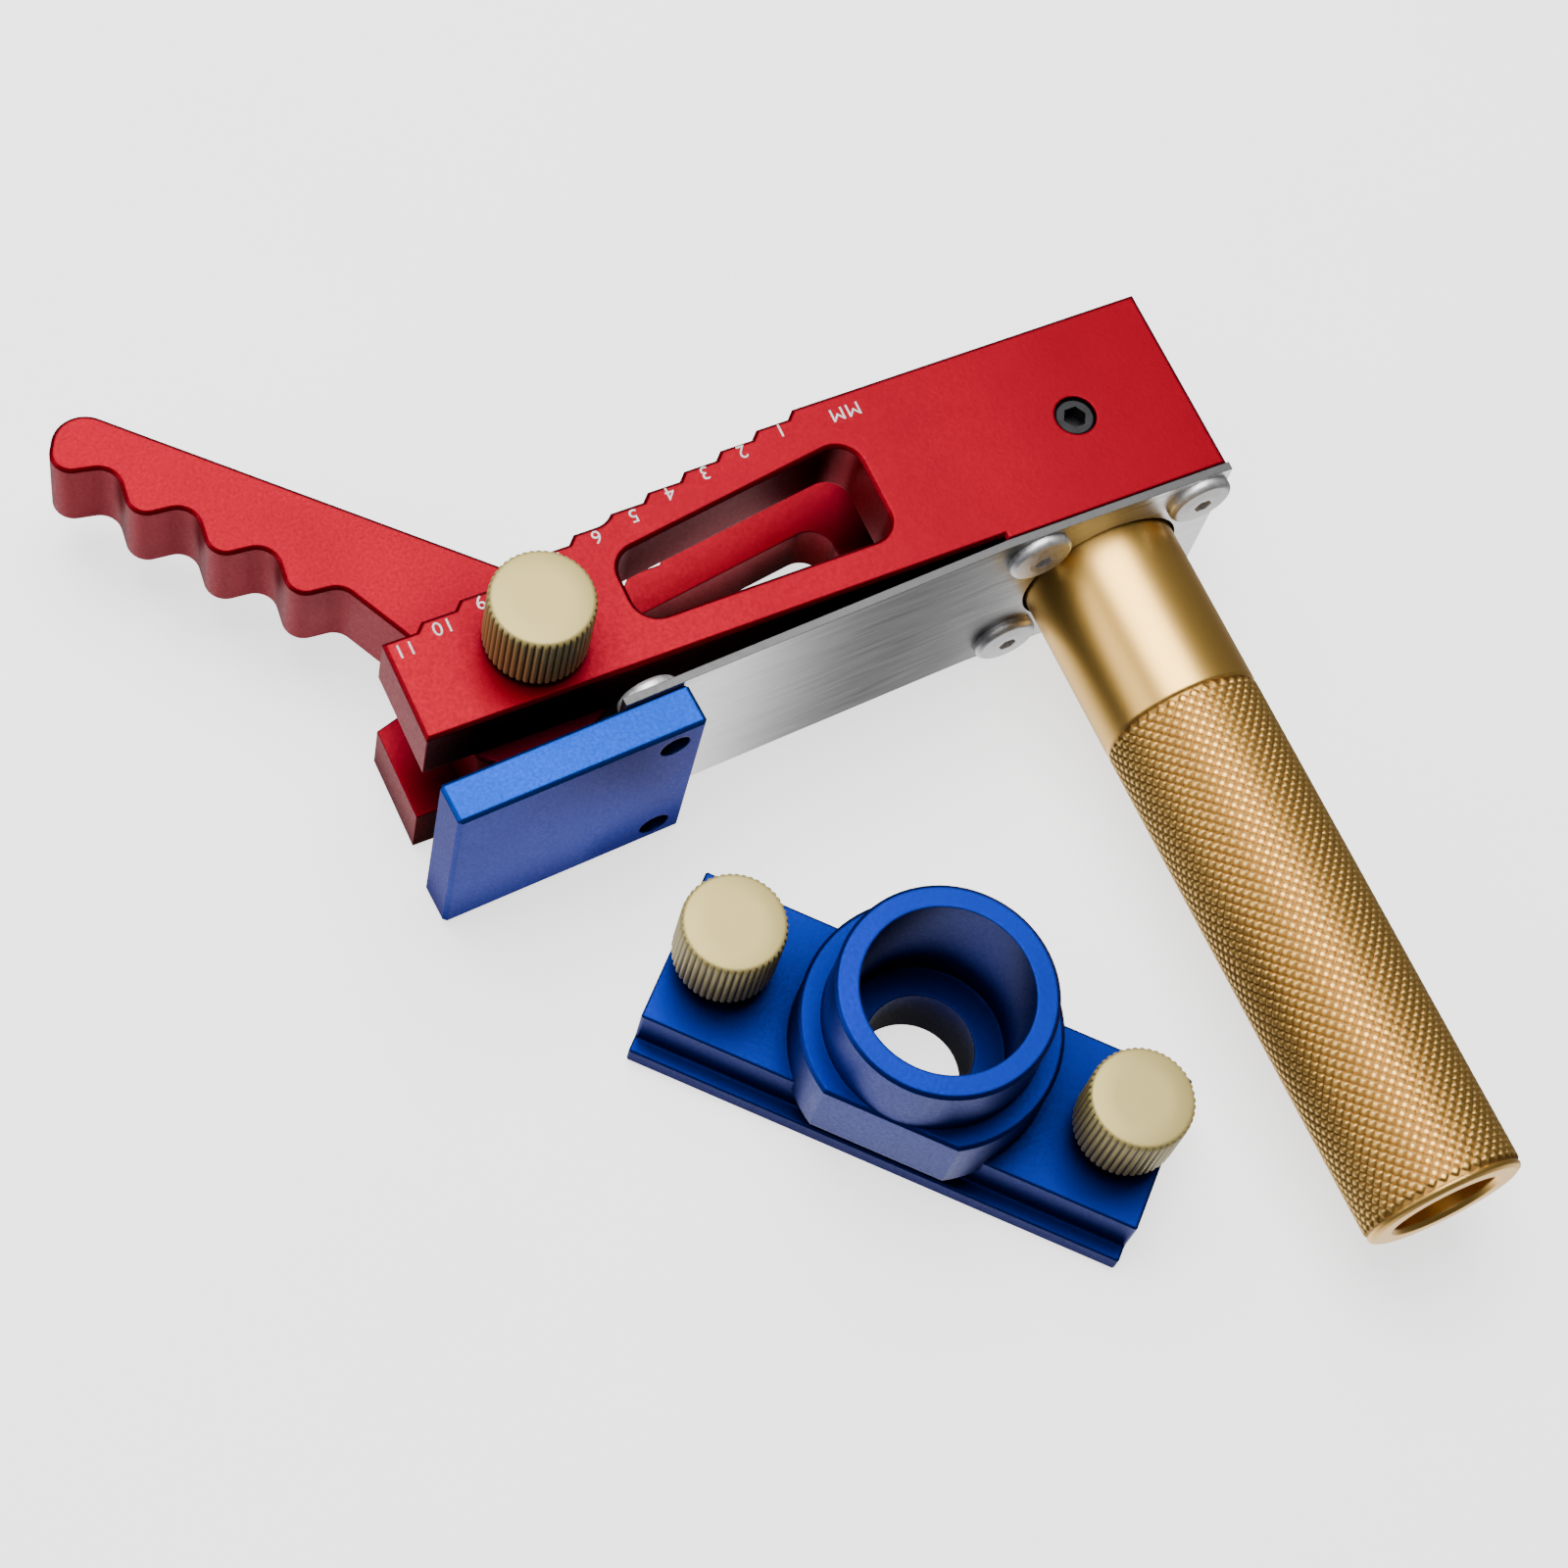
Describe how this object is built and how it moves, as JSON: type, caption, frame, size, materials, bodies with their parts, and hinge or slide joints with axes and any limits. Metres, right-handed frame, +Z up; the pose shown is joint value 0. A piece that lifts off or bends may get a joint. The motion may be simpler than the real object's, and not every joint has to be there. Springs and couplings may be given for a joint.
{
  "type": "dowel joiner",
  "caption": "Hand-held dowel joiner: forked block with a stepped edge, finger lever, sprung pressure pad, tube handle and a loose guide block.",
  "frame": {"origin": "on the block's flat bottom face, under the grub screw that holds the tube handle, where the handle's axis plane crosses it", "axes": "+Z up from the bottom face, +X along the block towards its handle end, +Y towards the stepped edge, so the handle leaves along -Y"},
  "size_m": [0.1241, 0.1426, 0.0385],
  "materials": {
    "red_anodised": "satin",
    "pad_blue": "satin",
    "guide_blue": "satin",
    "leaf_steel": "brushed",
    "gold_anodised": "satin",
    "knob_brass": "satin",
    "stud_brass": "satin",
    "bush_brass": "satin",
    "black_oxide": "black oxide",
    "bolt_steel": "satin",
    "shim_plastic": "matt",
    "screw_steel": "satin"
  },
  "bodies": {
    "frame": {"body_block": "red_anodised", "grip_tube": "gold_anodised", "grip_grub_screw": "black_oxide", "leaf_spring": "leaf_steel", "clamp_bolt": "bolt_steel", "lever_shim_lower": "shim_plastic", "lever_shim_upper": "shim_plastic", "plate_screw_1": "screw_steel", "plate_screw_2": "screw_steel", "plate_screw_3": "screw_steel", "plate_screw_4": "screw_steel"},
    "lever": {"finger_lever": "red_anodised", "lever_bush": "bush_brass"},
    "pad": {"pressure_pad": "pad_blue", "pad_screw_1": "screw_steel", "pad_screw_2": "screw_steel"},
    "knob_seat": {"clamp_washer": "bolt_steel"},
    "clamp_knob": {"clamp_knob": "knob_brass"},
    "guide": {"guide_block": "guide_blue", "guide_grub_screw": "black_oxide"},
    "left_stud": {"thumb_stud_left": "stud_brass"},
    "left_knob": {"thumb_knob_left": "knob_brass"},
    "right_stud": {"thumb_stud_right": "stud_brass"},
    "right_knob": {"thumb_knob_right": "knob_brass"}
  },
  "joints": [
    {"name": "lever_swing", "type": "hinge", "parent": "frame", "child": "lever", "pos_m": [-0.0701, -0.00416, 0.0143], "axis": [0, 0, 1], "range_deg": [-20, 15]},
    {"name": "pad_flex", "type": "hinge", "parent": "frame", "child": "pad", "pos_m": [-0.0149, -0.012, 0.0143], "axis": [0, 0, 1], "range_deg": [-1.11, 0.83], "deforming": ["leaf_spring"]},
    {"name": "knob_turn", "type": "hinge", "parent": "knob_seat", "child": "clamp_knob", "pos_m": [-0.0701, -0.00416, 0.0291], "axis": [0, 0, 1], "range_deg": [-2, 722]},
    {"name": "knob_rise", "type": "slide", "parent": "frame", "child": "knob_seat", "axis": [0, 0, 1], "range_m": [0, 0.0016]},
    {"name": "guide_lift", "type": "slide", "parent": "frame", "child": "guide", "axis": [0, 0, 1], "range_m": [0, 0.06]},
    {"name": "thumb_turn_left", "type": "hinge", "parent": "left_stud", "child": "left_knob", "pos_m": [-0.06144, -0.04037, 0.0117], "axis": [0, 0, 1], "range_deg": [-722, 722]},
    {"name": "thumb_feed_left", "type": "slide", "parent": "guide", "child": "left_stud", "axis": [0, 0, 1], "range_m": [-0.0016, 0.0016]},
    {"name": "thumb_turn_right", "type": "hinge", "parent": "right_stud", "child": "right_knob", "pos_m": [-0.02856, -0.07563, 0.0117], "axis": [0, 0, 1], "range_deg": [-722, 722]},
    {"name": "thumb_feed_right", "type": "slide", "parent": "guide", "child": "right_stud", "axis": [0, 0, 1], "range_m": [-0.0016, 0.0016]}
  ],
  "couplings": [
    {"joint": "pad_flex", "follows": "lever_swing", "ratio": 0.055},
    {"joint": "knob_turn", "follows": "knob_rise", "rad_per_m": 7854},
    {"joint": "thumb_turn_left", "follows": "thumb_feed_left", "rad_per_m": 7854},
    {"joint": "thumb_turn_right", "follows": "thumb_feed_right", "rad_per_m": 7854}
  ]
}
